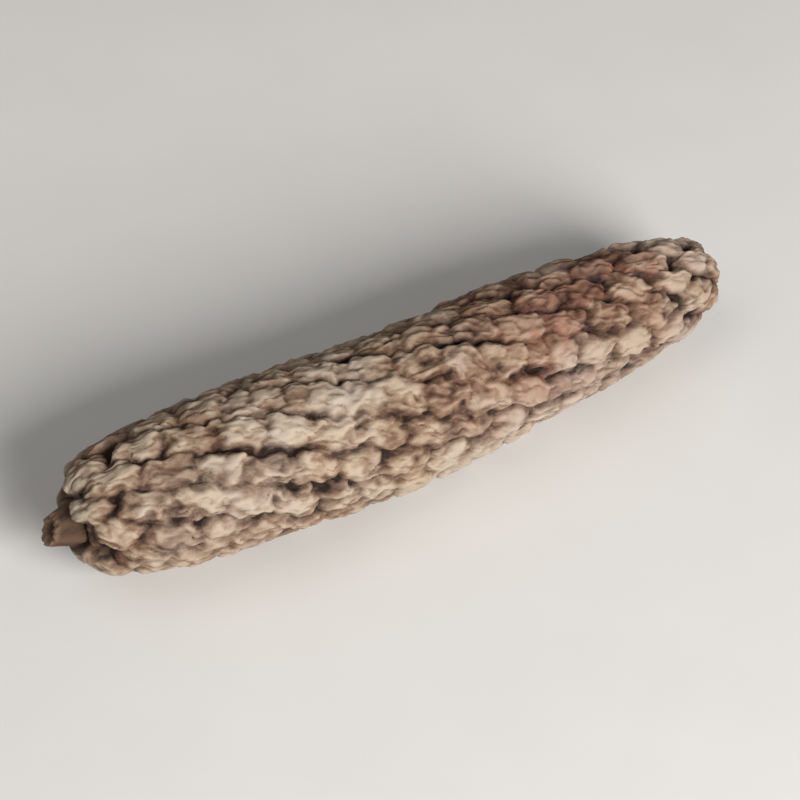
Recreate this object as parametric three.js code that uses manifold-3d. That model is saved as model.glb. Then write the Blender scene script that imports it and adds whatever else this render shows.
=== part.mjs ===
// A dried long pepper: one knobbly fruit spike and the broken stub of its stalk, lying on its side.
// Millimetres, +Z up. X runs along the spike, from the stalk end at -X to the tip at +X, and Z = 0 is
// the surface that the lowest fruitlets rest on.

import * as THREE from "three";
import { mergeVertices } from "three/addons/utils/BufferGeometryUtils.js";
import Module from "manifold-3d";

const wasm = await Module();
wasm.setup();

// The spike, measured over the tops of its fruitlets
const SPIKE_LENGTH = 38;
const SPIKE_DIAMETER = 8.5;
const BASE_BLUNTNESS = 0.22; // a smaller exponent makes the stalk end flatter
const TIP_TAPER = 0.35; // a larger exponent makes the tip more pointed
const BOW = 0.9; // how far the middle stands out of a straight line, towards -Y
const REST_TILT = THREE.MathUtils.degToRad(1.2); // how far the tip dips when the spike lies at rest
const REST_DEPTH = 4.05; // from the middle line down to the surface that the spike rests on

// Lumps that keep the spike from being round: share of the radius, waves round it, waves along it, phase
const LUMPS = [
  [0.03, 2, 0.7, 3.5],
  [0.022, 3, -1.3, 1.9],
  [0.02, 1, 2.2, 4.1],
];

// The fruitlets
const FRUITLET_HEIGHT = 0.55;
const FRUITLET_SPACING = 2.1; // each has a square of this width to itself, where the spike is thick
const SLIM_SIZE = 0.82; // share of that spacing which is left where the spike is slimmest
const GOLDEN_ANGLE = Math.PI * (3 - Math.sqrt(5)); // turn round the spike from one to the next
const FRUITLET_REACH = 0.76; // half its length, as a share of the spacing
const FRUITLET_SLIMNESS = 0.64; // its width, as a share of its length
const ROW_SLANT = THREE.MathUtils.degToRad(20); // slant of the rows that the fruitlets are joined in
const TOP_FLATNESS = 4; // a larger exponent makes its top flatter
const SIDE_SLOPE = 0.8; // a smaller exponent makes its sides steeper
const FRUITLET_DRIFT = 0.08; // how far one strays from its place, as a share of the spacing
const REACH_SPREAD = 0.1; // how far its reach strays from the usual, as a share
const HEIGHT_SPREAD = 0.12;

// The stalk stub and the socket that it sits in
const STALK_DIAMETER = 2; // where it enters the spike
const STALK_TAPER = 0.82; // share of the diameter that is left at the broken end
const STALK_OUT = 1.3; // beyond the end of the core
const STALK_IN = 1.6; // inside the socket
const STALK_RIBS = 6;
const STALK_RIB_DEPTH = 0.1;
const STALK_EDGE = 0.12; // rounding of its broken end
const BREAK_SLOPE = 0.5; // rise of the broken end across the stalk
const SOCKET_GAP = 0.3;

// The core that the fruitlets grow from
const CORE_LENGTH = SPIKE_LENGTH - 2 * FRUITLET_HEIGHT;
const CORE_RADIUS = SPIKE_DIAMETER / 2 - FRUITLET_HEIGHT;
const THICKEST = BASE_BLUNTNESS / (BASE_BLUNTNESS + TIP_TAPER); // place along the core, from 0 to 1
const STALK_END = STALK_OUT + (BREAK_SLOPE * STALK_TAPER * STALK_DIAMETER) / 2; // where its break reaches to
const MIDDLE_SHIFT = (STALK_END - FRUITLET_HEIGHT) / 2; // puts the middle of the whole pepper at X = 0
const BOW_RADIUS = SPIKE_LENGTH ** 2 / (8 * BOW);

// Turns along the core's meridian, from 0 at the stalk end to pi at the tip
const MOUTH_TURN = 0.1; // the rim of the socket
const LAST_FRUITLET_TURN = 0.16; // the fruitlets stop here, short of the socket
const LAST_ROW_TURN = 3.1; // the last row of the surface before the tip itself
const TURN_STEP = Math.PI / 4000;

// How finely the surfaces are drawn
const SURFACE_COLUMNS = 60;
const SURFACE_ROW_SPACING = 0.46;
const STALK_COLUMNS = 4 * STALK_RIBS;
const WELD_DISTANCE = 1e-4; // points closer than this are one point

// What each fruitlet's draws are for, and the uneven steps and the scale that scatter the draws
const DRAWS = { around: 1, along: 2, reach: 3, height: 4 };
const INDEX_STEP = 127.1;
const PURPOSE_STEP = 311.7;
const SCATTER = 43758.5453;

const spikeBrown = new THREE.MeshStandardMaterial({ color: 0x9a7a5c, roughness: 0.85, metalness: 0 });
const stalkBrown = new THREE.MeshStandardMaterial({ color: 0x6b4a30, roughness: 0.9, metalness: 0 });

// A repeatable draw from -1 to 1 for one fruitlet and one purpose
function draw(index, purpose) {
  const wave = Math.sin(index * INDEX_STEP + purpose * PURPOSE_STEP) * SCATTER;
  return 2 * (wave - Math.floor(wave)) - 1;
}

// A place on the core's meridian, as x along the middle line and y out from it: blunt at the stalk end,
// tapered at the tip
function meridian(turn) {
  const share = (1 - Math.cos(turn)) / 2;
  const fromBase = (share / THICKEST) ** BASE_BLUNTNESS;
  const fromTip = ((1 - share) / (1 - THICKEST)) ** TIP_TAPER;
  return new THREE.Vector2((share - 0.5) * CORE_LENGTH, CORE_RADIUS * fromBase * fromTip);
}

// The way along the core towards the tip, in the plane of the meridian
function onward(turn) {
  return meridian(Math.min(turn + TURN_STEP, Math.PI)).sub(meridian(turn - TURN_STEP)).normalize();
}

// The way out of the core, in the plane of the meridian
function outward(turn) {
  const { x, y } = onward(turn);
  return new THREE.Vector2(-y, x);
}

// A place half way up the fruitlets, where their spacing is measured
function halfWayUp(turn) {
  return meridian(turn).addScaledVector(outward(turn), FRUITLET_HEIGHT / 2);
}

// Turns from the rim of the socket to the tip, evenly spaced along the meridian
function surfaceTurns() {
  const turns = [MOUTH_TURN];
  let walked = 0;
  for (let turn = MOUTH_TURN + TURN_STEP; turn < LAST_ROW_TURN; turn += TURN_STEP) {
    walked += meridian(turn).distanceTo(meridian(turn - TURN_STEP));
    if (walked < SURFACE_ROW_SPACING) continue;
    walked = 0;
    turns.push(turn);
  }
  return [...turns, Math.PI];
}

// A point round the X axis
function roundAxis(place, around) {
  return new THREE.Vector3(place.x, place.y * Math.cos(around), place.y * Math.sin(around));
}

// The way along the slanting row that a fruitlet stands in
function alongRow(turn, around) {
  const sideways = new THREE.Vector3(0, -Math.sin(around), Math.cos(around));
  const straight = roundAxis(onward(turn), around);
  return straight.multiplyScalar(Math.cos(ROW_SLANT)).addScaledVector(sideways, Math.sin(ROW_SLANT));
}

// The fruitlets, one after another along a spiral from the tip to the stalk end. Each stands the golden
// angle on from the one before it and has the same share of the surface, or less where the spike is slim.
function fruitletsOnCore() {
  const fruitlets = [];
  let room = 0;
  for (let turn = Math.PI; turn > LAST_FRUITLET_TURN; turn -= TURN_STEP) {
    const place = halfWayUp(turn);
    const stepLength = place.distanceTo(halfWayUp(turn - TURN_STEP));
    const spacing = FRUITLET_SPACING * (SLIM_SIZE + ((1 - SLIM_SIZE) * meridian(turn).y) / CORE_RADIUS);
    room += (2 * Math.PI * place.y * stepLength) / spacing ** 2;
    if (room < fruitlets.length) continue;
    const index = fruitlets.length;
    const drift = FRUITLET_DRIFT * spacing;
    const around = GOLDEN_ANGLE * index + (drift * draw(index, DRAWS.around)) / Math.max(place.y, spacing);
    fruitlets.push({
      centre: roundAxis(place, around).add(new THREE.Vector3(drift * draw(index, DRAWS.along), 0, 0)),
      row: alongRow(turn, around),
      reach: FRUITLET_REACH * spacing * (1 + REACH_SPREAD * draw(index, DRAWS.reach)),
      height: FRUITLET_HEIGHT * (1 + HEIGHT_SPREAD * draw(index, DRAWS.height)),
    });
  }
  return fruitlets;
}

// How far the fruitlets stand out at a point of the surface half way up them: each is a mound with a broad
// top that runs into its neighbours in the same row and leaves a groove to those in the next row
function fruitletHeight(point, fruitlets) {
  let highest = 0;
  for (const { centre, row, reach, height } of fruitlets) {
    const apart = point.clone().sub(centre);
    const along = apart.dot(row);
    const across = apart.addScaledVector(row, -along).length();
    const far = Math.hypot(along, across / FRUITLET_SLIMNESS) / reach;
    if (far < 1) highest = Math.max(highest, height * (1 - far ** TOP_FLATNESS) ** SIDE_SLOPE);
  }
  return highest;
}

// Lathes a profile of places, which starts and ends on the middle line, round the X axis
function latheAlongX(profile, columns) {
  const points = profile.map((place) => new THREE.Vector2(place.y, place.x));
  return new THREE.LatheGeometry(points, columns).rotateZ(-Math.PI / 2);
}

// Moves every point of a geometry by a rule
function reshape(geometry, rule) {
  const position = geometry.attributes.position;
  for (let i = 0; i < position.count; i++) {
    const point = rule(new THREE.Vector3().fromBufferAttribute(position, i), i);
    position.setXYZ(i, point.x, point.y, point.z);
  }
  return geometry;
}

// Swells and hollows a straight round spike a little and bows its middle line
function growUneven(point) {
  const around = Math.atan2(point.z, point.y);
  const along = (2 * Math.PI * point.x) / SPIKE_LENGTH;
  let swell = 1;
  for (const [share, wavesRound, wavesAlong, phase] of LUMPS) {
    swell += share * Math.sin(wavesRound * around + wavesAlong * along + phase);
  }
  const fromBowCentre = BOW_RADIUS - point.y * swell;
  const turn = point.x / BOW_RADIUS;
  return new THREE.Vector3(
    fromBowCentre * Math.sin(turn),
    BOW_RADIUS - fromBowCentre * Math.cos(turn),
    point.z * swell,
  );
}

// Lays a straight round piece down the way that the dried pepper lies
function layDown(geometry) {
  return reshape(geometry, growUneven).rotateY(REST_TILT).translate(MIDDLE_SHIFT, 0, REST_DEPTH);
}

// A closed geometry cut off level with the surface that it rests on
function cutLevel(geometry) {
  geometry.deleteAttribute("normal");
  geometry.deleteAttribute("uv");
  const merged = mergeVertices(geometry, WELD_DISTANCE);
  const solid = new wasm.Manifold(
    new wasm.Mesh({
      numProp: 3,
      vertProperties: new Float32Array(merged.attributes.position.array),
      triVerts: new Uint32Array(merged.index.array),
    }),
  );
  const mesh = solid.trimByPlane([0, 0, 1], 0).getMesh();
  const cut = new THREE.BufferGeometry();
  cut.setAttribute("position", new THREE.BufferAttribute(mesh.vertProperties, 3));
  cut.setIndex(new THREE.BufferAttribute(mesh.triVerts, 1));
  return cut;
}

// The spike: a socket for the stalk, then rows from its rim to the tip, raised where fruitlets stand
function fruitSpike() {
  const fruitlets = fruitletsOnCore();
  const turns = surfaceTurns();
  const socketFloor = -CORE_LENGTH / 2 + STALK_IN + SOCKET_GAP;
  const socketRadius = STALK_DIAMETER / 2 + SOCKET_GAP;
  const socket = [new THREE.Vector2(socketFloor, 0), new THREE.Vector2(socketFloor, socketRadius)];
  const rows = [...socket, ...turns.map(meridian)];
  const raiseFruitlets = (point, i) => {
    const row = i % rows.length;
    if (row < socket.length) return point;
    const turn = turns[row - socket.length];
    const around = Math.atan2(point.z, point.y);
    const height = fruitletHeight(roundAxis(halfWayUp(turn), around), fruitlets);
    return point.clone().addScaledVector(roundAxis(outward(turn), around), height);
  };
  return cutLevel(layDown(reshape(latheAlongX(rows, SURFACE_COLUMNS), raiseFruitlets)));
}

// The stalk stub: a tapered, ribbed rod with a slanting broken end
function stalkStub() {
  const radius = STALK_DIAMETER / 2;
  const brokenRadius = STALK_TAPER * radius;
  const root = -CORE_LENGTH / 2;
  const inner = root + STALK_IN;
  const outer = root - STALK_OUT;
  const profile = [
    new THREE.Vector2(outer, 0),
    new THREE.Vector2(outer, brokenRadius - 2 * STALK_EDGE),
    new THREE.Vector2(outer + STALK_EDGE, brokenRadius),
    new THREE.Vector2(root, radius),
    new THREE.Vector2(inner, radius),
    new THREE.Vector2(inner, 0),
  ];
  const ribAndBreak = (point) => {
    const around = Math.atan2(point.z, point.y);
    const rib = 1 + (STALK_RIB_DEPTH * (Math.cos(STALK_RIBS * around) - 1)) / 2;
    const broken = point.x < (root + outer) / 2 ? BREAK_SLOPE * point.z : 0;
    return new THREE.Vector3(point.x + broken, point.y * rib, point.z * rib);
  };
  return layDown(reshape(latheAlongX(profile, STALK_COLUMNS), ribAndBreak));
}

function namedMesh(name, geometry, material) {
  geometry.computeVertexNormals();
  const mesh = new THREE.Mesh(geometry, material);
  mesh.name = name;
  return mesh;
}

const longPepper = new THREE.Group();
longPepper.add(namedMesh("fruit_spike", fruitSpike(), spikeBrown));
longPepper.add(namedMesh("stalk", stalkStub(), stalkBrown));

export default longPepper;
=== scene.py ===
"""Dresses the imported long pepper: a fine fruit spike, its stalk stub, and a plain stage for them.

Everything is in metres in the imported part's frame: X runs from the stalk end to the tip and Z = 0 is the
surface that the pepper lies on.
"""

import math

import bmesh
import bpy
import numpy as np
from bpy.props import FloatProperty, FloatVectorProperty, IntProperty, PointerProperty
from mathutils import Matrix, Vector, noise


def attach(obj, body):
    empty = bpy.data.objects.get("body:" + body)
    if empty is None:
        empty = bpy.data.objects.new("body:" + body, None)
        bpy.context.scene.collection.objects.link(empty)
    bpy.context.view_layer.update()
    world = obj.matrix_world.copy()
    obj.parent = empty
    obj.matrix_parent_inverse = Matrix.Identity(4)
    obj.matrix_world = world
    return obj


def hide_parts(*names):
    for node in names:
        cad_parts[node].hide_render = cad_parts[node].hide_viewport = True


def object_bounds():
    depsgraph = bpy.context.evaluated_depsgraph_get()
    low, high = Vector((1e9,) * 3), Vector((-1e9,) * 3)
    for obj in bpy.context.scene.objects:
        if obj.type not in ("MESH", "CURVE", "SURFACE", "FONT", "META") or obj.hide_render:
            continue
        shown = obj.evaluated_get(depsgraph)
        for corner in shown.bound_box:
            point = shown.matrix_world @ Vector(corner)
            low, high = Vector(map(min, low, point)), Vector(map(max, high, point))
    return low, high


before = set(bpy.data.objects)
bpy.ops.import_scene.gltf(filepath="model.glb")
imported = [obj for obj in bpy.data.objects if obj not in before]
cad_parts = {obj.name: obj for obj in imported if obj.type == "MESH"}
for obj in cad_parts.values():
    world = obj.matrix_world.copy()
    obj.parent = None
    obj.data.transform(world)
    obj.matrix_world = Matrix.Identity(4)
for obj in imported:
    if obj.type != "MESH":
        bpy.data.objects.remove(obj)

bl_info = {
    "name": "Dried long pepper",
    "version": (1, 0, 0),
    "blender": (4, 5, 0),
    "location": "3D View > Sidebar > Long pepper",
    "description": "Models a dried long pepper with its stalk stub and sets it on a plain stage",
    "category": "Add Mesh",
}

CAD_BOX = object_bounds()
MM = 0.001
WELD_DISTANCE = 1e-7

# Turns along the core's meridian, from 0 at the stalk end to pi at the tip
MOUTH_TURN = 0.1
LAST_FRUITLET_TURN = 0.16
LAST_ROW_TURN = 3.12
TURN_STEP = math.pi / 4000
GOLDEN_ANGLE = math.pi * (3 - math.sqrt(5))

# Points nearer to the axis than this share of the core's radius are in the socket
OUTSIDE_SHARE = 0.9

# The painted light and shade of the wrinkles fades out below this tone
WRINKLED_TONE = 0.5

# So many points are worked out together, to save memory
POINTS_AT_ONCE = 8192

# Without a seed, Blender's noise differs from run to run
NOISE_SEED = 1
NOISE_OCTAVES = 2

# Steps that scatter the repeatable draws, and a number for each use of them
INDEX_STEP = 127.1
PURPOSE_STEP = 311.7
SCATTER = 43758.5453
AROUND_DRAW, ALONG_DRAW, REACH_DRAW, HEIGHT_DRAW = 1, 2, 3, 4
HAS_DENT_DRAW, DENT_STRENGTH_DRAW, TINT_DRAW, DENT_WIDTH_DRAW = 6, 7, 8, 9
DENT_PLACE_DRAWS = np.arange(10, 13)
TONE_DRAW = 13

# Rows of faces over the stalk's broken end, round its edge and along its side
END_ROWS, EDGE_ROWS, SIDE_ROWS = 12, 4, 28

# Widths of the patterns in the materials, and how many times as long they are
FLECK_WIDTH = 0.45 * MM
FLECK_STRETCH = 2
RED_FLECK_WIDTH = 1 * MM
BLOOM_WIDTH = 5 * MM
GRAIN_WIDTH = 0.16 * MM
FIBRE_WIDTH = 0.12 * MM
FIBRE_STRETCH = 10
PULP_WIDTH = 6 * MM

# Sockets of a Mix node for colours
FACTOR, FIRST, SECOND, RESULT = 0, 6, 7, 2

# Lumps that keep the spike from being round: share of the radius, waves round it, waves along it, phase
LUMPS = (
    (0.03, 2, 0.7, 3.5),
    (0.022, 3, -1.3, 1.9),
    (0.02, 1, 2.2, 4.1),
)


def linear(hex_colour):
    """The linear colour of an sRGB hex value such as "8A6547"."""
    parts = [int(hex_colour[i:i + 2], 16) / 255 for i in (0, 2, 4)]
    return [p / 12.92 if p <= 0.04045 else ((p + 0.055) / 1.055) ** 2.4 for p in parts]


def length_of(name, description, default_mm):
    return FloatProperty(
        name=name, description=description, default=default_mm * MM, unit="LENGTH", precision=5
    )


def angle_of(name, description, default_degrees):
    return FloatProperty(
        name=name, description=description, default=math.radians(default_degrees), unit="ROTATION"
    )


def power_of(name, description, default_watts):
    return FloatProperty(name=name, description=description, default=default_watts, unit="POWER")


def share_of(name, description, default):
    return FloatProperty(name=name, description=description, default=default, precision=3)


def colour_of(name, description, hex_colour):
    return FloatVectorProperty(
        name=name, description=description, default=linear(hex_colour), subtype="COLOR"
    )


class LONGPEPPER_PG_spike(bpy.types.PropertyGroup):
    """Sizes of the spike and its fruitlets"""

    length: length_of("Length", "Over the fruitlets, from the stalk end to the tip", 38)
    diameter: length_of("Diameter", "Over the fruitlets, where the spike is thickest", 8.5)
    base_bluntness: share_of("Base bluntness", "A smaller value makes the stalk end flatter", 0.22)
    tip_taper: share_of("Tip taper", "A larger value makes the tip more pointed", 0.35)
    bow: length_of("Bow", "How far the middle stands out of a straight line", 0.9)
    rest_tilt: angle_of("Rest tilt", "How far the tip dips at rest", 1.2)
    rest_depth: length_of("Rest depth", "From the middle line down to the surface below", 4.05)
    fruitlet_height: length_of("Fruitlet height", "From the core to the top of a fruitlet", 0.55)
    fruitlet_spacing: length_of("Fruitlet spacing", "Width of the square that each fruitlet has", 2.1)
    slim_size: share_of("Slim size", "Share of the spacing that is left at the slim ends", 0.82)
    fruitlet_reach: share_of("Fruitlet reach", "Half its length, as a share of the spacing", 0.76)
    fruitlet_slimness: share_of("Fruitlet slimness", "Its width, as a share of its length", 0.64)
    squareness: share_of("Squareness", "A larger value makes a fruitlet's outline squarer", 3)
    row_slant: angle_of("Row slant", "Slant of the rows that the fruitlets are joined in", 20)
    top_flatness: share_of("Top flatness", "A larger value makes a fruitlet's top flatter", 4)
    side_slope: share_of("Side slope", "A smaller value makes a fruitlet's sides steeper", 0.8)
    fruitlet_drift: share_of("Fruitlet drift", "How far one strays, as a share of the spacing", 0.08)
    reach_spread: share_of("Reach spread", "How far a fruitlet's reach strays", 0.1)
    height_spread: share_of("Height spread", "How far a fruitlet's height strays", 0.12)
    tone_spread: share_of("Tone spread", "How far a fruitlet's shade strays", 0.14)
    crease: share_of("Crease", "Depth of the creases between fruitlets, as a share of height", 0.12)
    crease_sharpness: share_of("Crease sharpness", "A larger value makes the creases narrower", 8)
    warp: length_of("Warp", "How far drying pulls the fruitlets out of shape", 0.42)
    warp_size: length_of("Warp size", "Width of the stretches that are pulled one way", 1.0)
    dent_depth: length_of("Dent depth", "Depth of the dent in the top of a fruitlet", 0.09)
    dent_share: share_of("Dent share", "Share of the fruitlets with a dent", 0.35)
    dent_strength: share_of("Dent strength", "Usual depth of a dent, as a share of the full depth", 0.65)
    dent_strength_spread: share_of("Dent strength spread", "How far that strays", 0.35)
    dent_width: share_of("Dent width", "Usual half width of a dent, as a share of the reach", 0.26)
    dent_width_spread: share_of("Dent width spread", "How far that strays", 0.12)
    dent_drift: share_of("Dent drift", "How far a dent lies off the middle, as a share of the reach", 0.2)
    wrinkle_depth: length_of("Wrinkle depth", "Depth of the wrinkles that drying leaves", 0.13)
    wrinkle_size: length_of("Wrinkle size", "From one wrinkle to the next", 0.5)
    wrinkle_stretch: share_of("Wrinkle stretch", "Length of a wrinkle, as a multiple of that", 2)
    # Painted light on the wrinkles' ridges and painted shade in their grooves
    wrinkle_light_and_shade: share_of("Wrinkle tone", "How far the wrinkles shade the skin", 0.35)
    slot_depth: length_of("Slot depth", "How far the slots between fruitlets sink below the core", 0.12)
    furrow_depth: length_of("Furrow depth", "Depth of the furrows that run along the rows", 0.11)
    furrow_size: length_of("Furrow size", "From one furrow to the next", 0.55)
    furrow_stretch: share_of("Furrow stretch", "Length of a furrow, as a multiple of that", 3)
    furrow_width: share_of("Furrow width", "A smaller value makes the furrows narrower", 0.16)
    # Painted shade in the furrows, besides their depth
    furrow_shade: share_of("Furrow tone", "How far the furrows darken the skin", 0.45)
    mouth_tone: share_of("Mouth tone", "Shade of the brown rim of the socket", 0.35)
    tint_spread: share_of("Tint spread", "How far a fruitlet's redness strays", 0.35)
    flush: share_of("Flush", "Redness in the middle of the reddish stretch", 1.1)
    flush_place: share_of("Flush place", "Middle of the reddish stretch, as a share of the length", 0.74)
    flush_size: length_of("Flush size", "Reach of the reddish stretch", 8.5)
    columns: IntProperty(name="Columns", description="Faces round the spike", default=288)
    row_spacing: length_of("Row spacing", "Length of a face along the spike", 0.125)


class LONGPEPPER_PG_stalk(bpy.types.PropertyGroup):
    """Sizes of the stalk stub and its socket"""

    diameter: length_of("Diameter", "Over the ribs, where the stalk enters the spike", 2)
    taper: share_of("Taper", "Share of the diameter that is left at the broken end", 0.82)
    collar: length_of("Collar", "How far the root swells in its socket", 0.2)
    collar_length: length_of("Collar length", "Reach of that swelling along the stalk", 0.6)
    knobbliness: share_of("Knobbliness", "How far it is out of round, as a share of the radius", 0.14)
    knob_squeeze: share_of("Knob squeeze", "A smaller value draws the knobs out along the stalk", 0.6)
    out: length_of("Outside", "Length beyond the end of the core", 1.3)
    inside: length_of("Inside", "Length inside the socket", 1.6)
    ribs: IntProperty(name="Ribs", description="Ribs round the stalk", default=6)
    rib_depth: share_of("Rib depth", "Depth of the grooves, as a share of the radius", 0.1)
    edge: length_of("Edge", "Rounding of the broken end", 0.12)
    flat_share: share_of("Flat share", "Share of the broken end inside that rounding", 0.86)
    break_slope: share_of("Break slope", "Rise of the broken end across the stalk", 0.5)
    hollow: length_of("Hollow", "Depth of the middle of the break", 0.3)
    pith_reach: share_of("Pith reach", "Reach of the dark middle, as a share of the radius", 0.7)
    pith_softness: share_of("Pith softness", "Width of its soft edge, as a share of the radius", 0.5)
    # Painted shade in the hollow middle of the break
    pith_shade: share_of("Pith shade", "A larger value makes the middle darker", 2)
    fibre: length_of("Fibre length", "How far torn fibres stand out of the break", 0.2)
    fibre_size: length_of("Fibre size", "Width of a bundle of torn fibres", 0.3)
    socket_gap: length_of("Socket gap", "Between the stalk's root and the spike", 0.3)
    columns: IntProperty(name="Columns", description="Faces round the stalk", default=72)


class LONGPEPPER_PG_colours(bpy.types.PropertyGroup):
    """Colours of the dried skin, the stalk and the stage"""

    # Painted shade: the darkest colour of the skin, low between the fruitlets and inside the socket
    crevice_shade: colour_of("Crevice", "Deep between the fruitlets", "26170D")
    side: colour_of("Side", "Sides of the fruitlets", "5B4130")
    shoulder: colour_of("Shoulder", "Where the sides turn into the tops", "846A54")
    top: colour_of("Top", "Rubbed tops of the fruitlets", "AB9781")
    red: colour_of("Red", "Cast of the fruitlets that dried reddish", "BE7862")
    dust: colour_of("Dust", "Grey bloom over the tops", "B3A89B")
    dent: colour_of("Dent", "The dent in the top of a fruitlet", "5E422D")
    stalk: colour_of("Stalk", "Dried stalk", "5E4636")
    # Painted shade between the stalk's ribs
    stalk_groove_shade: colour_of("Stalk groove", "Between the stalk's ribs", "2C1E15")
    fibre: colour_of("Fibre", "Torn fibres of the broken end", "8E765D")
    floor: colour_of("Floor", "The pale floor", "E4E1DC")


class LONGPEPPER_PG_stage(bpy.types.PropertyGroup):
    """Floor, lights and camera; an azimuth of 0 is on the -Y side"""

    floor_reach: length_of("Floor reach", "Half the width of the floor", 1000)
    surroundings: share_of("Surroundings", "Strength of the even light from all round", 0.17)
    key_azimuth: angle_of("Key azimuth", "Side that the main light is on", 5)
    key_elevation: angle_of("Key elevation", "Height of the main light", 28)
    key_distance: length_of("Key distance", "From the pepper to the main light", 300)
    key_size: length_of("Key size", "Width of the main light", 140)
    key_power: power_of("Key power", "Power of the main light", 1.25)
    top_azimuth: angle_of("Top azimuth", "Side that the upper light is on", -100)
    top_elevation: angle_of("Top elevation", "Height of the upper light", 60)
    top_distance: length_of("Top distance", "From the pepper to the upper light", 350)
    top_size: length_of("Top size", "Width of the upper light", 250)
    top_power: power_of("Top power", "Power of the upper light", 0.18)
    lens: FloatProperty(name="Lens", description="Focal length of the camera", default=135, unit="CAMERA")
    camera_azimuth: angle_of("Camera azimuth", "Side that the camera is on", -30)
    camera_elevation: angle_of("Camera elevation", "Height of the camera", 47)
    camera_distance: length_of("Camera distance", "From the pepper to the camera", 152)


def draw(index, purpose):
    """A repeatable draw from -1 to 1 for each fruitlet and one purpose."""
    wave = np.sin(index * INDEX_STEP + purpose * PURPOSE_STEP) * SCATTER
    return 2 * (wave - np.floor(wave)) - 1


def round_axis(place, around):
    """Points round the X axis, from places (x, r) and angles."""
    x, r = place[..., 0], place[..., 1]
    return np.stack([x, r * np.cos(around), r * np.sin(around)], axis=-1)


class SpikeForm:
    """The shape of the spike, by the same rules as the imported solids."""

    def __init__(self, spike, stalk):
        self.spike = spike
        self.core_length = spike.length - 2 * spike.fruitlet_height
        self.core_radius = spike.diameter / 2 - spike.fruitlet_height
        self.thickest = spike.base_bluntness / (spike.base_bluntness + spike.tip_taper)
        self.bow_radius = spike.length ** 2 / (8 * spike.bow)
        stalk_end = stalk.out + stalk.break_slope * stalk.taper * stalk.diameter / 2
        self.middle_shift = (stalk_end - spike.fruitlet_height) / 2

    def meridian(self, turn):
        """Places (x, r) on the core, blunt at the stalk end and tapered at the tip."""
        share = (1 - np.cos(turn)) / 2
        from_base = (np.maximum(share, 0) / self.thickest) ** self.spike.base_bluntness
        from_tip = (np.maximum(1 - share, 0) / (1 - self.thickest)) ** self.spike.tip_taper
        x = (share - 0.5) * self.core_length
        return np.stack([x, self.core_radius * from_base * from_tip], axis=-1)

    def onward(self, turn):
        """The way along the core towards the tip, in the plane of the meridian."""
        step = self.meridian(np.minimum(turn + TURN_STEP, math.pi)) - self.meridian(turn - TURN_STEP)
        return step / np.linalg.norm(step, axis=-1, keepdims=True)

    def outward(self, turn):
        """The way out of the core, in the plane of the meridian."""
        onward = self.onward(turn)
        return np.stack([-onward[..., 1], onward[..., 0]], axis=-1)

    def half_way_up(self, turn):
        """Places half way up the fruitlets, where their spacing is measured."""
        return self.meridian(turn) + self.outward(turn) * self.spike.fruitlet_height / 2

    def surface_turns(self):
        """Turns from the rim of the socket to the tip, evenly spaced along the meridian."""
        turns = np.arange(MOUTH_TURN, LAST_ROW_TURN, TURN_STEP)
        steps = np.linalg.norm(np.diff(self.meridian(turns), axis=0), axis=1)
        walked = np.concatenate([[0], np.cumsum(steps)])
        rows = np.arange(0, walked[-1], self.spike.row_spacing)
        return np.append(np.interp(rows, walked, turns), math.pi)

    def fruitlets(self):
        """Centres, ways along and across the row, reaches and heights of the fruitlets."""
        spike = self.spike
        turns = np.arange(math.pi, LAST_FRUITLET_TURN, -TURN_STEP)
        places = self.half_way_up(turns)
        steps = np.linalg.norm(places - self.half_way_up(turns - TURN_STEP), axis=1)
        slimness = self.meridian(turns)[:, 1] / self.core_radius
        spacings = spike.fruitlet_spacing * (spike.slim_size + (1 - spike.slim_size) * slimness)
        room = np.cumsum(2 * math.pi * places[:, 1] * steps / spacings ** 2)
        index = np.arange(int(room[-1]) + 1)
        chosen = np.searchsorted(room, index)
        place = places[chosen]
        spacing = spacings[chosen]
        drift = spike.fruitlet_drift * spacing
        turned = drift * draw(index, AROUND_DRAW) / np.maximum(place[:, 1], spacing)
        around = GOLDEN_ANGLE * index + turned
        centres = round_axis(place, around)
        centres[:, 0] += drift * draw(index, ALONG_DRAW)
        straight = round_axis(self.onward(turns[chosen]), around)
        sideways = np.stack([np.zeros(len(index)), -np.sin(around), np.cos(around)], axis=-1)
        rows = math.cos(spike.row_slant) * straight + math.sin(spike.row_slant) * sideways
        sides = math.cos(spike.row_slant) * sideways - math.sin(spike.row_slant) * straight
        reaches = spike.fruitlet_reach * spacing * (1 + spike.reach_spread * draw(index, REACH_DRAW))
        heights = spike.fruitlet_height * (1 + spike.height_spread * draw(index, HEIGHT_DRAW))
        return centres, rows, sides, reaches, heights

    def lay_down(self, points):
        """Swells, bows and tilts straight points the way that the dried pepper lies."""
        spike = self.spike
        x, y, z = points.T
        around = np.arctan2(z, y)
        along = 2 * math.pi * x / spike.length
        swell = 1 + sum(
            share * np.sin(waves_round * around + waves_along * along + phase)
            for share, waves_round, waves_along, phase in LUMPS
        )
        from_bow_centre = self.bow_radius - y * swell
        turn = x / self.bow_radius
        bowed_x = from_bow_centre * np.sin(turn)
        bowed_y = self.bow_radius - from_bow_centre * np.cos(turn)
        dip, level = math.sin(spike.rest_tilt), math.cos(spike.rest_tilt)
        laid_x = bowed_x * level + z * swell * dip + self.middle_shift
        laid_z = z * swell * level - bowed_x * dip + spike.rest_depth
        return np.stack([laid_x, bowed_y, np.maximum(laid_z, 0)], axis=-1)


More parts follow.
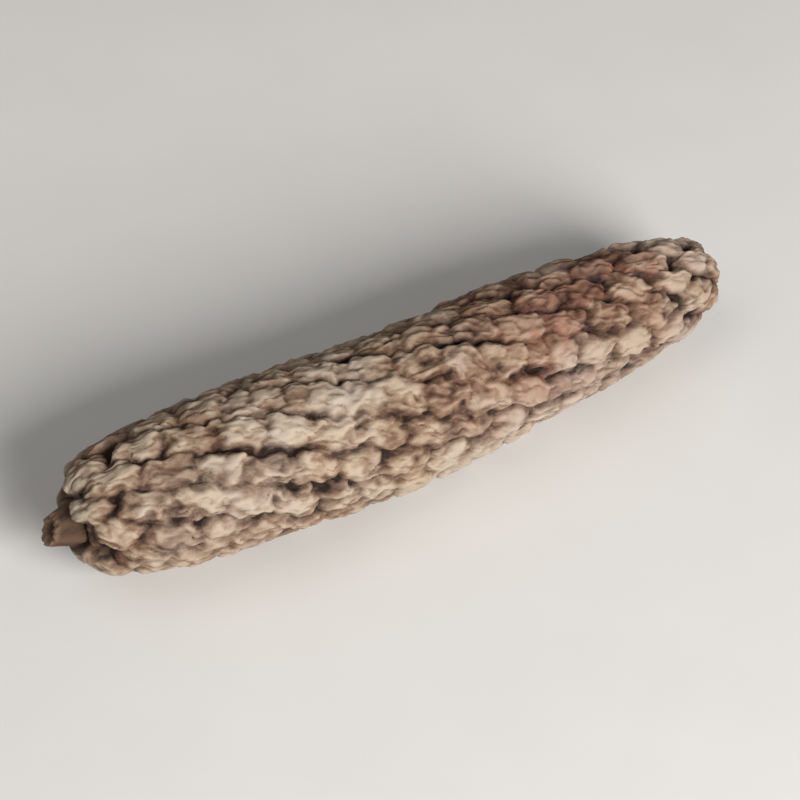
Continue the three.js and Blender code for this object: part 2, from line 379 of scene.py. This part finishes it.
def spun_mesh(name, profile, columns):
    """A mesh of a profile of (x, r) places, spun round the X axis, with its poles closed."""
    bm = bmesh.new()
    verts = [bm.verts.new((x, r, 0)) for x, r in profile]
    edges = [bm.edges.new(pair) for pair in zip(verts, verts[1:])]
    bmesh.ops.spin(
        bm,
        geom=verts + edges,
        cent=(0, 0, 0),
        axis=(1, 0, 0),
        angle=2 * math.pi,
        steps=columns,
        use_merge=True,
    )
    bmesh.ops.remove_doubles(bm, verts=bm.verts, dist=WELD_DISTANCE)
    bmesh.ops.recalc_face_normals(bm, faces=bm.faces)
    mesh = bpy.data.meshes.new(name)
    bm.to_mesh(mesh)
    bm.free()
    mesh.shade_smooth()
    return mesh


def points_of(mesh):
    flat = np.empty(len(mesh.vertices) * 3)
    mesh.vertices.foreach_get("co", flat)
    return flat.reshape(-1, 3)


def set_points(mesh, points):
    mesh.vertices.foreach_set("co", points.ravel())
    mesh.update()


def paint(mesh, name, values):
    """Stores a number for each vertex, which the material reads by name."""
    mesh.attributes.new(name, "FLOAT", "POINT").data.foreach_set("value", values.astype(np.float32))


def place_piece(name, mesh, node, material):
    """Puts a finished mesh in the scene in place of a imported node."""
    mesh.materials.append(material)
    piece = bpy.data.objects.new(name, mesh)
    bpy.context.scene.collection.objects.link(piece)
    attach(piece, "root")
    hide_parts(node)


def add(tree, kind, inputs=(), stops=(), **settings):
    """Adds a node with its settings, input values or links, and a ramp's stops, its two ends first."""
    node = tree.nodes.new(kind)
    for name, value in settings.items():
        setattr(node, name, value)
    for socket, value in dict(inputs).items():
        if isinstance(value, bpy.types.NodeSocket):
            tree.links.new(value, node.inputs[socket])
        else:
            node.inputs[socket].default_value = value
    for i, (position, colour) in enumerate(stops):
        ramp = node.color_ramp.elements
        stop = ramp[i] if i < 2 else ramp.new(position)
        stop.position = position
        stop.color = (*colour, 1)
    return node


def new_material(name):
    material = bpy.data.materials.new(name)
    material.use_nodes = True
    material.node_tree.nodes.clear()
    return material, material.node_tree


def dried_skin(colours):
    """The skin of the fruitlets."""
    # Fruit skin, sun-dried: matt, with painted shade darkest deep between the fruitlets, and rubbed pale
    # on their tops
    material, tree = new_material("Fruit skin, sun-dried")
    place = add(tree, "ShaderNodeTexCoord").outputs["Object"]
    tone = add(tree, "ShaderNodeAttribute", attribute_name="tone").outputs["Fac"]
    tint = add(tree, "ShaderNodeAttribute", attribute_name="tint").outputs["Fac"]
    dent = add(tree, "ShaderNodeAttribute", attribute_name="dent").outputs["Fac"]

    # Flecks drawn out along the spike shift where one shade gives way to the next
    drawn_out = add(
        tree, "ShaderNodeMapping", {"Vector": place, "Scale": (1 / FLECK_STRETCH, 1, 1)}
    ).outputs["Vector"]
    blotch = add(
        tree,
        "ShaderNodeTexNoise",
        {"Vector": drawn_out, "Scale": 1 / FLECK_WIDTH, "Detail": 3, "Roughness": 0.6},
    ).outputs["Fac"]
    shift = add(
        tree,
        "ShaderNodeMapRange",
        {"Value": blotch, "From Min": 0.3, "From Max": 0.7, "To Min": -0.3, "To Max": 0.2},
    ).outputs["Result"]
    shade = add(tree, "ShaderNodeMath", {0: tone, 1: shift}, operation="ADD").outputs[0]
    # The ramp follows the height of the skin: its darker colours low down and in the crevices are painted
    # shade, and its pale tops are rubbed
    skin = add(
        tree,
        "ShaderNodeValToRGB",
        {"Fac": shade},
        stops=[
            (0.08, colours.crevice_shade),
            (1.0, colours.top),
            (0.34, colours.side),
            (0.64, colours.shoulder),
        ],
    ).outputs["Color"]

    # Some fruitlets dried reddish, mostly on the upper side towards the tip, and in flecks
    flush = add(
        tree,
        "ShaderNodeTexNoise",
        {"Vector": place, "Scale": 1 / RED_FLECK_WIDTH, "Detail": 2, "Roughness": 0.5},
    ).outputs["Fac"]
    flushed = add(tree, "ShaderNodeMath", {0: tint, 1: flush}, operation="MULTIPLY").outputs[0]
    cast = add(
        tree,
        "ShaderNodeMapRange",
        {"Value": flushed, "From Min": 0.08, "From Max": 0.6, "To Min": 0, "To Max": 0.7},
    ).outputs["Result"]
    reddish = add(
        tree,
        "ShaderNodeMix",
        {FACTOR: cast, FIRST: skin, SECOND: (*colours.red, 1)},
        data_type="RGBA",
        blend_type="MULTIPLY",
    ).outputs[RESULT]

    # Grey bloom lies in patches, and only on the tops
    patch = add(
        tree,
        "ShaderNodeTexNoise",
        {"Vector": place, "Scale": 1 / BLOOM_WIDTH, "Detail": 3, "Roughness": 0.55},
    ).outputs["Fac"]
    bloom = add(
        tree,
        "ShaderNodeMapRange",
        {"Value": patch, "From Min": 0.42, "From Max": 0.65, "To Min": 0.05, "To Max": 0.6},
    ).outputs["Result"]
    on_tops = add(
        tree, "ShaderNodeMath", {0: bloom, 1: shade}, operation="MULTIPLY", use_clamp=True
    ).outputs[0]
    dusty = add(
        tree,
        "ShaderNodeMix",
        {FACTOR: on_tops, FIRST: reddish, SECOND: (*colours.dust, 1)},
        data_type="RGBA",
    ).outputs[RESULT]

    # The dents in the tops are darker
    dent_darkening = add(tree, "ShaderNodeMath", {0: dent, 1: 0.7}, operation="MULTIPLY").outputs[0]
    dented = add(
        tree,
        "ShaderNodeMix",
        {FACTOR: dent_darkening, FIRST: dusty, SECOND: (*colours.dent, 1)},
        data_type="RGBA",
    ).outputs[RESULT]

    # The grain is coarser than the real one, so that it shows
    grain = add(
        tree,
        "ShaderNodeTexNoise",
        {"Vector": place, "Scale": 1 / GRAIN_WIDTH, "Detail": 2, "Roughness": 0.6},
    ).outputs["Fac"]
    rough = add(
        tree,
        "ShaderNodeMapRange",
        {"Value": grain, "From Min": 0.3, "From Max": 0.7, "To Min": 0.68, "To Max": 0.9},
    ).outputs["Result"]
    coarse = add(
        tree, "ShaderNodeBump", {"Height": blotch, "Strength": 0.5, "Distance": 0.12 * MM}
    ).outputs["Normal"]
    fine = add(
        tree,
        "ShaderNodeBump",
        {"Height": grain, "Strength": 0.5, "Distance": 0.04 * MM, "Normal": coarse},
    ).outputs["Normal"]
    surface = add(
        tree,
        "ShaderNodeBsdfPrincipled",
        {"Base Color": dented, "Roughness": rough, "Specular IOR Level": 0.3, "Normal": fine},
    )
    add(tree, "ShaderNodeOutputMaterial", {"Surface": surface.outputs["BSDF"]})
    return material


def stalk_fibre(colours):
    """The stub of the stalk."""
    # Plant stalk, dried and snapped: painted shade in the grooves and in the hollow middle of the break,
    # streaks along it, pale torn fibres at the break
    material, tree = new_material("Plant stalk, dried and snapped")
    place = add(tree, "ShaderNodeTexCoord").outputs["Object"]
    groove = add(tree, "ShaderNodeAttribute", attribute_name="groove").outputs["Fac"]
    torn = add(tree, "ShaderNodeAttribute", attribute_name="torn").outputs["Fac"]

    # Fibres run along the stalk
    drawn_out = add(
        tree, "ShaderNodeMapping", {"Vector": place, "Scale": (1 / FIBRE_STRETCH, 1, 1)}
    ).outputs["Vector"]
    fibre = add(
        tree, "ShaderNodeTexNoise", {"Vector": drawn_out, "Scale": 1 / FIBRE_WIDTH, "Detail": 3}
    ).outputs["Fac"]
    # Painted shade in the grooves between the ribs, and in the hollow middle of the break
    shade = add(tree, "ShaderNodeMath", {0: groove, 1: fibre}, operation="MULTIPLY").outputs[0]
    bark = add(
        tree,
        "ShaderNodeMix",
        {FACTOR: shade, FIRST: (*colours.stalk, 1), SECOND: (*colours.stalk_groove_shade, 1)},
        data_type="RGBA",
    ).outputs[RESULT]
    pale = add(
        tree, "ShaderNodeMath", {0: torn, 1: fibre}, operation="MULTIPLY", use_clamp=True
    ).outputs[0]
    colour = add(
        tree, "ShaderNodeMix", {FACTOR: pale, FIRST: bark, SECOND: (*colours.fibre, 1)}, data_type="RGBA"
    ).outputs[RESULT]
    rough = add(
        tree, "ShaderNodeMapRange", {"Value": fibre, "To Min": 0.75, "To Max": 0.95}
    ).outputs["Result"]
    bump = add(
        tree, "ShaderNodeBump", {"Height": fibre, "Strength": 0.6, "Distance": 0.06 * MM}
    ).outputs["Normal"]
    surface = add(
        tree,
        "ShaderNodeBsdfPrincipled",
        {"Base Color": colour, "Roughness": rough, "Specular IOR Level": 0.3, "Normal": bump},
    )
    add(tree, "ShaderNodeOutputMaterial", {"Surface": surface.outputs["BSDF"]})
    return material


def floor_card(colours):
    """The floor."""
    # Card, pressed and uncoated: pale, matt and all but plain, with faint clouds of pulp
    material, tree = new_material("Card, pressed and uncoated")
    place = add(tree, "ShaderNodeTexCoord").outputs["Object"]
    pulp = add(
        tree, "ShaderNodeTexNoise", {"Vector": place, "Scale": 1 / PULP_WIDTH, "Detail": 3}
    ).outputs["Fac"]
    shade = add(
        tree, "ShaderNodeMapRange", {"Value": pulp, "To Min": 0.97, "To Max": 1.03}
    ).outputs["Result"]
    colour = add(
        tree,
        "ShaderNodeMix",
        {FACTOR: 1, FIRST: (*colours.floor, 1), SECOND: shade},
        data_type="RGBA",
        blend_type="MULTIPLY",
    ).outputs[RESULT]
    rough = add(
        tree, "ShaderNodeMapRange", {"Value": pulp, "To Min": 0.87, "To Max": 0.93}
    ).outputs["Result"]
    bump = add(
        tree, "ShaderNodeBump", {"Height": pulp, "Strength": 0.2, "Distance": 0.02 * MM}
    ).outputs["Normal"]
    surface = add(
        tree, "ShaderNodeBsdfPrincipled", {"Base Color": colour, "Roughness": rough, "Normal": bump}
    )
    add(tree, "ShaderNodeOutputMaterial", {"Surface": surface.outputs["BSDF"]})
    return material


def noise_at(points, size):
    """Noise vectors at points, which change over a given size and, less, over smaller ones."""
    noise.seed_set(NOISE_SEED)
    return np.array([noise.turbulence_vector(point, NOISE_OCTAVES, False) for point in points / size])


def fruitlet_relief(form, points):
    """Relief of the skin, and its tone, tint and dent, at points half way up the fruitlets."""
    spike = form.spike
    centres, rows, sides, reaches, heights = form.fruitlets()
    index = np.arange(len(reaches))
    has_dent = draw(index, HAS_DENT_DRAW) < 2 * spike.dent_share - 1
    strengths = spike.dent_strength + spike.dent_strength_spread * draw(index, DENT_STRENGTH_DRAW)
    dent_strength = np.where(has_dent, strengths, 0)
    dent_width = reaches * (spike.dent_width + spike.dent_width_spread * draw(index, DENT_WIDTH_DRAW))
    dent_drift = spike.dent_drift * reaches[:, None]
    dent_centres = centres + dent_drift * draw(index[:, None], DENT_PLACE_DRAWS)
    tints = draw(index, TINT_DRAW)
    batches = []
    for some in np.array_split(points, math.ceil(len(points) / POINTS_AT_ONCE)):
        apart = some[:, None] - centres
        along = (apart * rows).sum(axis=2)
        across = np.linalg.norm(apart - along[:, :, None] * rows, axis=2)
        square = spike.squareness
        shares = np.abs(along) ** square + (across / spike.fruitlet_slimness) ** square
        far = shares ** (1 / square) / reaches
        nearest = far.argmin(axis=1)
        near, second = np.partition(far, 1, axis=1)[:, :2].T
        mounds = heights * np.maximum(1 - far ** spike.top_flatness, 0) ** spike.side_slope
        mound = mounds.max(axis=1)
        top = mound * (1 - spike.crease * (2 * near / (near + second)) ** spike.crease_sharpness)
        from_dent = np.linalg.norm(some - dent_centres[nearest], axis=1) / dent_width[nearest]
        dent = dent_strength[nearest] * np.exp(-from_dent ** 2)
        # The tone follows the height, so that the skin low between the fruitlets gets painted shade
        tone = top / spike.fruitlet_height + spike.tone_spread * draw(nearest, TONE_DRAW)
        own_along = along[np.arange(len(some)), nearest] / spike.furrow_stretch
        own_across = ((some - centres[nearest]) * sides[nearest]).sum(axis=1)
        own = np.stack([own_along, own_across, nearest * spike.length], axis=-1)
        waves = noise_at(own, spike.furrow_size)[:, 0]
        furrow = np.exp(-(waves / spike.furrow_width) ** 2) * np.clip(tone, 0, 1)
        slot = np.clip(1 - mound / spike.fruitlet_height, 0, 1) ** 2
        relief = top - spike.dent_depth * dent - spike.furrow_depth * furrow - spike.slot_depth * slot
        # The tone gets painted shade in the furrows
        batches.append([relief, tone - spike.furrow_shade * furrow, tints[nearest], dent])
    return np.concatenate(batches, axis=1)


def spike_profile(form, stalk):
    """Places (x, r) from the floor of the socket, out to its rim and along the core to the tip."""
    socket_floor = -form.core_length / 2 + stalk.inside + stalk.socket_gap
    socket_radius = stalk.diameter / 2 + stalk.socket_gap
    return [(socket_floor, 0), (socket_floor, socket_radius), *form.meridian(form.surface_turns())]


def dried_relief(form, turn, points):
    """As fruitlet_relief, warped and wrinkled by drying, with a brown rim round the socket."""
    spike = form.spike
    warped = points + spike.warp * noise_at(points, spike.warp_size)
    relief, tone, tint, dent = fruitlet_relief(form, warped)
    wrinkles = noise_at(warped * (1 / spike.wrinkle_stretch, 1, 1), spike.wrinkle_size)[:, 0]
    relief += spike.wrinkle_depth * wrinkles
    # Painted light on the wrinkles' ridges and painted shade in their grooves
    tone += spike.wrinkle_light_and_shade * wrinkles * np.clip(tone / WRINKLED_TONE, 0, 1)
    from_mouth = np.linalg.norm(form.meridian(turn) - form.meridian(MOUTH_TURN), axis=1)
    rim_tone = spike.mouth_tone * (1 - from_mouth / spike.fruitlet_spacing)
    return relief, np.maximum(tone, rim_tone), tint, dent


def redness(spike, points, tint):
    """How reddish the skin is: each fruitlet's own tint, and a flush above towards the tip."""
    middle = np.array([(spike.flush_place - 0.5) * spike.length, 0, spike.diameter / 2])
    away = np.linalg.norm(points - middle, axis=1) / spike.flush_size
    return spike.tint_spread * tint + spike.flush * np.exp(-away ** 2)


class LONGPEPPER_OT_fruit_spike(bpy.types.Operator):
    """Models the fruit spike with all its fruitlets"""

    bl_idname = "longpepper.fruit_spike"
    bl_label = "Fruit spike"

    def execute(self, context):
        sizes = context.scene.long_pepper_spike
        stalk = context.scene.long_pepper_stalk
        form = SpikeForm(sizes, stalk)
        mesh = spun_mesh("fruit_spike_fine", spike_profile(form, stalk), sizes.columns)
        points = points_of(mesh)
        around = np.arctan2(points[:, 2], points[:, 1])
        turn = np.arccos(np.clip(-2 * points[:, 0] / form.core_length, -1, 1))
        outside = np.hypot(points[:, 1], points[:, 2]) >= OUTSIDE_SHARE * form.meridian(turn)[:, 1]
        middle_points = round_axis(form.half_way_up(turn), around)
        relief, tone, tint, dent = dried_relief(form, turn, middle_points)
        raised = points + round_axis(form.outward(turn), around) * (relief * outside)[:, None]
        set_points(mesh, form.lay_down(raised))
        # The inside of the socket has a tone of nought, which paints it with the darkest shade
        paint(mesh, "tone", tone * outside)
        paint(mesh, "tint", redness(sizes, middle_points, tint))
        paint(mesh, "dent", dent * outside)
        skin = dried_skin(context.scene.long_pepper_colours)
        place_piece("fruit_spike_fine", mesh, "fruit_spike", skin)
        return {"FINISHED"}


def stalk_profile(stalk, root):
    """Places (x, r) from the middle of the broken end, over its edge and along the side to the root."""
    radius = stalk.diameter / 2
    broken_radius = stalk.taper * radius
    inner = root + stalk.inside
    outer = root - stalk.out
    end_rows = [(outer, broken_radius * share) for share in np.linspace(0, stalk.flat_share, END_ROWS)]
    edge_rows = [
        (
            outer + stalk.edge * share,
            broken_radius * (stalk.flat_share + (1 - stalk.flat_share) * math.sqrt(share)),
        )
        for share in np.linspace(1 / EDGE_ROWS, 1, EDGE_ROWS)
    ]
    side_x = np.linspace(outer + 2 * stalk.edge, inner, SIDE_ROWS)
    widening = (radius - broken_radius) * np.minimum((side_x - outer) / stalk.out, 1)
    collar = stalk.collar * np.exp(-((side_x - root) / stalk.collar_length) ** 2)
    side_rows = zip(side_x, broken_radius + widening + collar)
    return [*end_rows, *edge_rows, *side_rows, (inner, 0)]


class LONGPEPPER_OT_stalk(bpy.types.Operator):
    """Models the snapped stub of the stalk"""

    bl_idname = "longpepper.stalk"
    bl_label = "Stalk stub"

    def execute(self, context):
        sizes = context.scene.long_pepper_stalk
        form = SpikeForm(context.scene.long_pepper_spike, sizes)
        radius = sizes.diameter / 2
        root = -form.core_length / 2
        end_depth = 2 * sizes.edge
        mesh = spun_mesh("stalk_fine", stalk_profile(sizes, root), sizes.columns)
        points = points_of(mesh)
        around = np.arctan2(points[:, 2], points[:, 1])
        across = np.hypot(points[:, 1], points[:, 2]) / (sizes.taper * radius)
        groove = (1 - np.cos(sizes.ribs * around)) / 2
        at_break = np.clip((root - sizes.out + end_depth - points[:, 0]) / end_depth, 0, 1)
        pith = at_break * np.clip((sizes.pith_reach - across) / sizes.pith_softness, 0, 1)
        fibres = noise_at(points * (0, 1, 1), sizes.fibre_size)[:, 0]
        near_break = np.clip((root - points[:, 0]) / sizes.out, 0, 1)
        knobs = near_break * noise_at(points * (sizes.knob_squeeze, 1, 1), radius)[:, 0]
        swell = 1 - sizes.rib_depth * groove + sizes.knobbliness * knobs
        points[:, 1:] *= swell[:, None]
        points[:, 0] += near_break * sizes.break_slope * points[:, 2]
        points[:, 0] += at_break * sizes.fibre * fibres + sizes.hollow * pith
        set_points(mesh, form.lay_down(points))
        # The groove value carries painted shade for the grooves and for the hollow middle of the break
        paint(mesh, "groove", np.maximum(groove, sizes.pith_shade * pith))
        paint(mesh, "torn", at_break * (1 - pith))
        place_piece("stalk_fine", mesh, "stalk", stalk_fibre(context.scene.long_pepper_colours))
        return {"FINISHED"}


def towards(azimuth, elevation):
    """The way to something at an azimuth, where 0 is on the -Y side, and an elevation."""
    level = math.cos(elevation)
    return Vector((math.sin(azimuth) * level, -math.cos(azimuth) * level, math.sin(elevation)))


def aim(thing, target, way, distance):
    thing.location = target + way * distance
    thing.rotation_euler = (-way).to_track_quat("-Z", "Y").to_euler()
    bpy.context.scene.collection.objects.link(thing)


def soft_light(name, target, way, distance, size, watts):
    light = bpy.data.lights.new(name, "AREA")
    light.size = size
    light.energy = watts
    aim(bpy.data.objects.new(name, light), target, way, distance)


def lay_floor(scene, reach):
    bm = bmesh.new()
    bmesh.ops.create_grid(bm, x_segments=1, y_segments=1, size=reach)
    mesh = bpy.data.meshes.new("floor")
    bm.to_mesh(mesh)
    bm.free()
    mesh.materials.append(floor_card(scene.long_pepper_colours))
    floor = bpy.data.objects.new("floor", mesh)
    scene.collection.objects.link(floor)


def light_surroundings(scene, strength):
    world = bpy.data.worlds.new("studio")
    world.use_nodes = True
    background = world.node_tree.nodes["Background"]
    background.inputs["Color"].default_value = (1, 1, 1, 1)
    background.inputs["Strength"].default_value = strength
    scene.world = world
    scene.view_settings.view_transform = "Standard"


class LONGPEPPER_OT_stage(bpy.types.Operator):
    """Sets up the pale floor, soft light and camera"""

    bl_idname = "longpepper.stage"
    bl_label = "Stage"

    def execute(self, context):
        scene = context.scene
        stage = scene.long_pepper_stage
        target = (Vector(CAD_BOX[0]) + Vector(CAD_BOX[1])) / 2
        lay_floor(scene, stage.floor_reach)
        light_surroundings(scene, stage.surroundings)

        key_way = towards(stage.key_azimuth, stage.key_elevation)
        top_way = towards(stage.top_azimuth, stage.top_elevation)
        soft_light("key", target, key_way, stage.key_distance, stage.key_size, stage.key_power)
        soft_light("top", target, top_way, stage.top_distance, stage.top_size, stage.top_power)

        lens = bpy.data.cameras.new("camera")
        lens.lens = stage.lens
        camera = bpy.data.objects.new("camera", lens)
        camera_way = towards(stage.camera_azimuth, stage.camera_elevation)
        aim(camera, target, camera_way, stage.camera_distance)
        scene.camera = camera
        return {"FINISHED"}


class LONGPEPPER_PT_panel(bpy.types.Panel):
    """Sizes, colours and steps of the dried long pepper"""

    bl_idname = "LONGPEPPER_PT_panel"
    bl_label = "Long pepper"
    bl_space_type = "VIEW_3D"
    bl_region_type = "UI"
    bl_category = "Long pepper"

    def draw(self, context):
        scene = context.scene
        groups = (
            scene.long_pepper_spike,
            scene.long_pepper_stalk,
            scene.long_pepper_colours,
            scene.long_pepper_stage,
        )
        for group in groups:
            box = self.layout.box()
            for name in group.__annotations__:
                box.prop(group, name)
        for operator in OPERATORS:
            self.layout.operator(operator.bl_idname)


GROUPS = (LONGPEPPER_PG_spike, LONGPEPPER_PG_stalk, LONGPEPPER_PG_colours, LONGPEPPER_PG_stage)
OPERATORS = (LONGPEPPER_OT_fruit_spike, LONGPEPPER_OT_stalk, LONGPEPPER_OT_stage)


def register():
    for item in (*GROUPS, *OPERATORS, LONGPEPPER_PT_panel):
        bpy.utils.register_class(item)
    bpy.types.Scene.long_pepper_spike = PointerProperty(type=LONGPEPPER_PG_spike)
    bpy.types.Scene.long_pepper_stalk = PointerProperty(type=LONGPEPPER_PG_stalk)
    bpy.types.Scene.long_pepper_colours = PointerProperty(type=LONGPEPPER_PG_colours)
    bpy.types.Scene.long_pepper_stage = PointerProperty(type=LONGPEPPER_PG_stage)


def unregister():
    del bpy.types.Scene.long_pepper_stage
    del bpy.types.Scene.long_pepper_colours
    del bpy.types.Scene.long_pepper_stalk
    del bpy.types.Scene.long_pepper_spike
    for item in (LONGPEPPER_PT_panel, *reversed(OPERATORS), *reversed(GROUPS)):
        bpy.utils.unregister_class(item)


def main():
    register()
    bpy.ops.longpepper.fruit_spike()
    bpy.ops.longpepper.stalk()
    bpy.ops.longpepper.stage()


if __name__ == "__main__":
    main()
